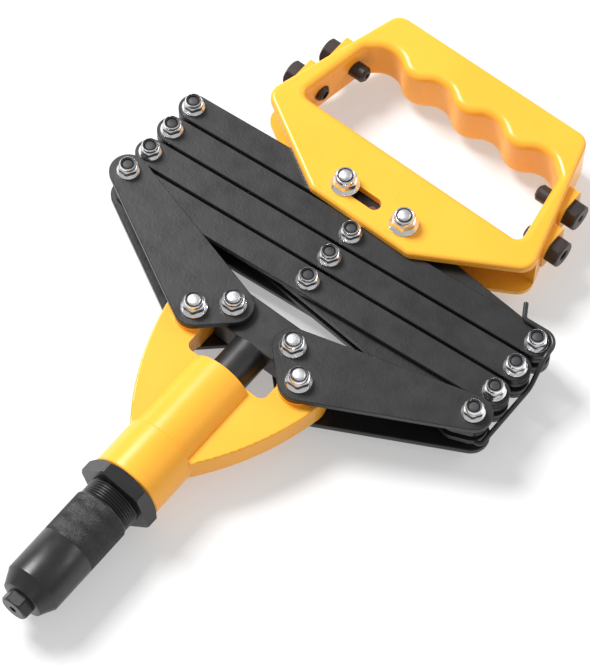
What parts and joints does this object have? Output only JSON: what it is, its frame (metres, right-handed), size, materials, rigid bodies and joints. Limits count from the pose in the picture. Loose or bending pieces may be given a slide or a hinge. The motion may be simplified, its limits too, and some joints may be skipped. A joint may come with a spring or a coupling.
{
  "type": "lazy-tong hand riveter",
  "caption": "Concertina-link hand riveter: nose with pulling jaws, yellow die-cast body, black bell cranks and scissor links, and a D-handle that holds spare nosepieces",
  "frame": {"origin": "centre of the nosepiece's front face, on the tool axis", "axes": "+Y along the tool from the nose to the grip, +X to the tool's right-hand link tips, +Z out of the front face, so the tool lies on its back"},
  "size_m": [0.2062, 0.3246, 0.0378],
  "materials": {
    "yellow_enamel": "satin-gloss baked enamel on die-cast aluminium",
    "black_enamel": "satin black enamel on pressed steel plate",
    "black_steel": "black-oxide turned and milled steel",
    "black_oxide": "satin black oxide, knurled band",
    "dark_steel": "brown-black oxide on hardened steel",
    "zinc_nut": "bright zinc plate with a nylon locking ring",
    "dark_bolt": "dark plated bolt",
    "bright_bolt": "bright zinc plated bolt",
    "dark_spacer": "black steel tube and washers",
    "bronze": "sintered bronze",
    "hardened_steel": "ground hardened steel",
    "spring_steel": "drawn spring wire",
    "black_wire": "black spring wire"
  },
  "bodies": {
    "body": {"body_casting": "yellow_enamel", "nose_sleeve": "black_oxide", "lock_nut": "black_oxide", "nosepiece": "black_oxide", "rod_bush": "bronze", "wing_bolts": "bright_bolt", "wing_nuts": "zinc_nut"},
    "pull_rod": {"pull_rod": "black_steel", "crosshead": "black_steel", "crosshead_pin": "black_steel", "rod_lock_nut": "black_steel", "jaw_case": "hardened_steel", "jaw_spring": "spring_steel"},
    "jaws": {"jaws": "hardened_steel", "jaw_pusher": "hardened_steel"},
    "left_crank": {"left_crank_front": "black_enamel", "left_crank_rear": "black_enamel", "left_crank_bolts": "dark_bolt", "left_crank_nuts": "zinc_nut", "left_crank_spacers": "dark_spacer"},
    "right_crank": {"right_crank_front": "black_enamel", "right_crank_rear": "black_enamel", "right_crank_bolts": "dark_bolt", "right_crank_nuts": "zinc_nut", "right_crank_spacers": "dark_spacer"},
    "outer_link_1": {"outer_link_1_front": "black_enamel", "outer_link_1_rear": "black_enamel", "outer_link_1_bolts": "dark_bolt", "outer_link_1_nuts": "zinc_nut", "outer_link_1_spacers": "dark_spacer"},
    "outer_link_2": {"outer_link_2_front": "black_enamel", "outer_link_2_rear": "black_enamel", "outer_link_2_bolts": "dark_bolt", "outer_link_2_nuts": "zinc_nut", "outer_link_2_spacers": "dark_spacer"},
    "outer_link_3": {"outer_link_3_front": "black_enamel", "outer_link_3_rear": "black_enamel", "outer_link_3_bolts": "dark_bolt", "outer_link_3_nuts": "zinc_nut", "outer_link_3_spacers": "dark_spacer"},
    "outer_link_4": {"outer_link_4_front": "black_enamel", "outer_link_4_rear": "black_enamel", "outer_link_4_bolts": "dark_bolt", "outer_link_4_nuts": "zinc_nut", "outer_link_4_spacers": "dark_spacer"},
    "inner_link_1": {"inner_link_1_front": "black_enamel", "inner_link_1_rear": "black_enamel"},
    "inner_link_2": {"inner_link_2_front": "black_enamel", "inner_link_2_rear": "black_enamel"},
    "inner_link_3": {"inner_link_3_front": "black_enamel", "inner_link_3_rear": "black_enamel"},
    "inner_link_4": {"inner_link_4_front": "black_enamel", "inner_link_4_rear": "black_enamel", "inner_link_4_bolts": "bright_bolt", "inner_link_4_nuts": "zinc_nut", "inner_link_4_spacers": "dark_spacer"},
    "handle": {"handle_casting": "yellow_enamel", "spare_nosepieces": "dark_steel"},
    "latch": {"latch_wire": "black_wire"}
  },
  "joints": [
    {"name": "tongs_open", "type": "hinge", "parent": "body", "child": "left_crank", "pos_m": [-0.0284, 0.1505, 0], "axis": [0, 0, -1], "range_deg": [0, 32]},
    {"name": "right_crank_turn", "type": "hinge", "parent": "body", "child": "right_crank", "pos_m": [0.0284, 0.1505, 0], "axis": [0, 0, 1], "range_deg": [0, 32]},
    {"name": "outer_link_1_turn", "type": "hinge", "parent": "left_crank", "child": "outer_link_1", "pos_m": [-0.094, 0.185, 0], "axis": [0, 0, 1], "range_deg": [0, 73.26]},
    {"name": "inner_link_1_turn", "type": "hinge", "parent": "outer_link_1", "child": "inner_link_1", "pos_m": [0, 0.19245, 0], "axis": [0, 0, -1], "range_deg": [0, 82.52]},
    {"name": "inner_link_2_turn", "type": "hinge", "parent": "outer_link_1", "child": "inner_link_2", "pos_m": [0.094, 0.1999, 0], "axis": [0, 0, -1], "range_deg": [0, 82.52]},
    {"name": "outer_link_2_turn", "type": "hinge", "parent": "inner_link_1", "child": "outer_link_2", "pos_m": [-0.094, 0.1999, 0], "axis": [0, 0, 1], "range_deg": [0, 82.52]},
    {"name": "inner_link_3_turn", "type": "hinge", "parent": "outer_link_2", "child": "inner_link_3", "pos_m": [0.094, 0.2148, 0], "axis": [0, 0, -1], "range_deg": [0, 82.52]},
    {"name": "outer_link_3_turn", "type": "hinge", "parent": "inner_link_2", "child": "outer_link_3", "pos_m": [-0.094, 0.2148, 0], "axis": [0, 0, 1], "range_deg": [0, 82.52]},
    {"name": "inner_link_4_turn", "type": "hinge", "parent": "outer_link_3", "child": "inner_link_4", "pos_m": [0.094, 0.2297, 0], "axis": [0, 0, -1], "range_deg": [0, 82.52]},
    {"name": "outer_link_4_turn", "type": "hinge", "parent": "inner_link_3", "child": "outer_link_4", "pos_m": [-0.094, 0.2297, 0], "axis": [0, 0, 1], "range_deg": [0, 82.52]},
    {"name": "handle_turn", "type": "hinge", "parent": "outer_link_4", "child": "handle", "pos_m": [0.016, 0.23842, 0], "axis": [0, 0, -1], "range_deg": [0, 41.26]},
    {"name": "rod_travel", "type": "slide", "parent": "body", "child": "pull_rod", "axis": [0, -1, 0], "range_m": [0, 0.00821]},
    {"name": "jaws_release", "type": "slide", "parent": "pull_rod", "child": "jaws", "axis": [0, 1, 0], "range_m": [0, 0.0015], "deforming": ["jaw_spring"]},
    {"name": "latch_swing", "type": "hinge", "parent": "outer_link_3", "child": "latch", "pos_m": [0.094, 0.2297, 0], "axis": [0, 0, 1], "range_deg": [-3, 70]}
  ],
  "couplings": [
    {"joint": "right_crank_turn", "follows": "tongs_open", "ratio": 1},
    {"joint": "outer_link_1_turn", "follows": "tongs_open", "ratio": 2.2894},
    {"joint": "inner_link_1_turn", "follows": "tongs_open", "ratio": 2.5787},
    {"joint": "inner_link_2_turn", "follows": "tongs_open", "ratio": 2.5787},
    {"joint": "outer_link_2_turn", "follows": "tongs_open", "ratio": 2.5787},
    {"joint": "inner_link_3_turn", "follows": "tongs_open", "ratio": 2.5787},
    {"joint": "outer_link_3_turn", "follows": "tongs_open", "ratio": 2.5787},
    {"joint": "inner_link_4_turn", "follows": "tongs_open", "ratio": 2.5787},
    {"joint": "outer_link_4_turn", "follows": "tongs_open", "ratio": 2.5787},
    {"joint": "handle_turn", "follows": "tongs_open", "ratio": 1.2894},
    {"joint": "rod_travel", "follows": "tongs_open", "m_per_rad": 0.014704}
  ]
}
